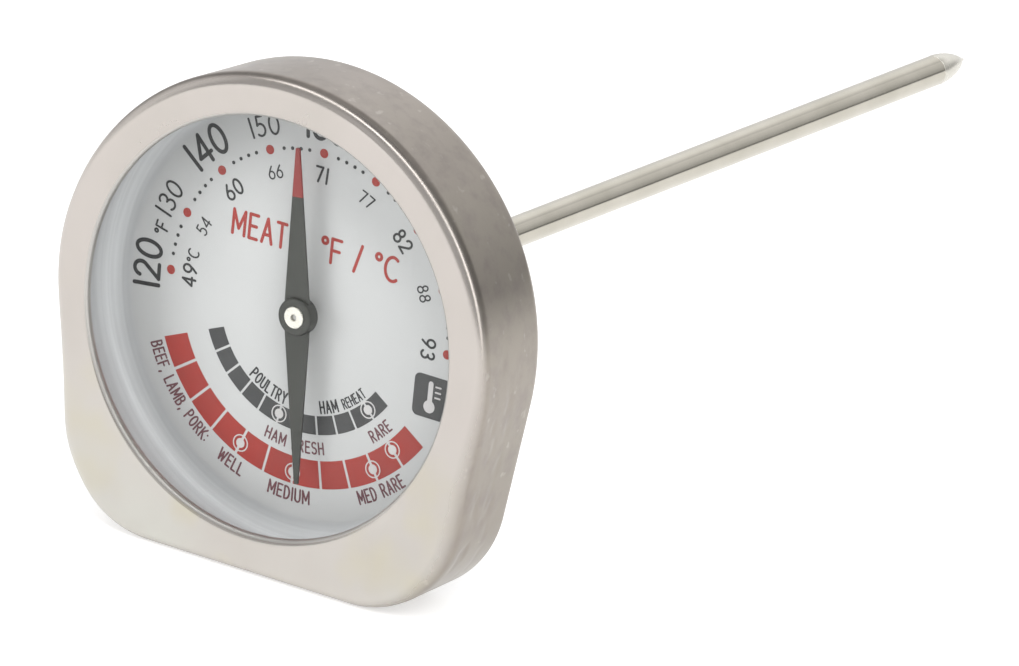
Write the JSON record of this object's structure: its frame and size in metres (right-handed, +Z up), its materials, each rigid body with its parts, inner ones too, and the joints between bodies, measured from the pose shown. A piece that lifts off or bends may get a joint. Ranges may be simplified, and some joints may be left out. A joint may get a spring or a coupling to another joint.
{
  "type": "meat thermometer",
  "caption": "Leave-in dial meat thermometer: round-topped stainless case with a flat foot edge, glass over a dished dial, turning pointer, and a thin pointed stem from the back.",
  "frame": {"origin": "on the stem's axis, where the bare stem leaves the ferrule behind the case", "axes": "+Y along the stem towards its point, so the dial faces -Y; +Z up from the flat foot edge; +X to the reader's right"},
  "size_m": [0.064, 0.1604, 0.0642],
  "materials": {
    "case_steel": "satin drawn stainless steel, warm grey",
    "cover_steel": "satin pressed stainless steel",
    "stem_steel": "polished drawn stainless tube",
    "tip_steel": "satin ground stainless point",
    "ferrule_steel": "turned stainless steel",
    "lens_glass": "clear flat glass",
    "dial_face": "satin silver-grey anodised face with printed red and dark grey scales",
    "pointer_paint": "matt black paint, red at one end",
    "bushing_metal": "nickel-plated brass, satin",
    "spindle_steel": "drawn steel wire",
    "bimetal_strip": "rolled bimetal strip",
    "bearing_plastic": "natural bearing plastic",
    "spacer_plastic": "moulded heat-proof plastic",
    "seal_rubber": "silicone rubber"
  },
  "bodies": {
    "case": {"front_bezel": "case_steel", "back_cover": "cover_steel", "case_seal": "seal_rubber", "lens": "lens_glass", "lens_gasket": "seal_rubber", "dial": "dial_face", "dial_spacer": "spacer_plastic", "bimetal_coil": "bimetal_strip", "coil_anchor": "spindle_steel", "upper_guide": "bearing_plastic", "lower_guide": "bearing_plastic", "stem_tube": "stem_steel", "stem_tip": "tip_steel", "stem_ferrule": "ferrule_steel", "stem_washer": "seal_rubber", "lock_nut": "ferrule_steel"},
    "pointer_shaft": {"pointer": "pointer_paint", "pointer_bushing": "bushing_metal", "spindle": "spindle_steel", "spindle_sleeve": "spindle_steel"}
  },
  "joints": [
    {"name": "pointer_turn", "type": "hinge", "parent": "case", "child": "pointer_shaft", "pos_m": [0, 0, 0], "axis": [0, 1, 0], "range_deg": [-196.4, 141.1], "stiffness_Nm_per_rad": 0.0004, "deforming": ["bimetal_coil"]}
  ]
}
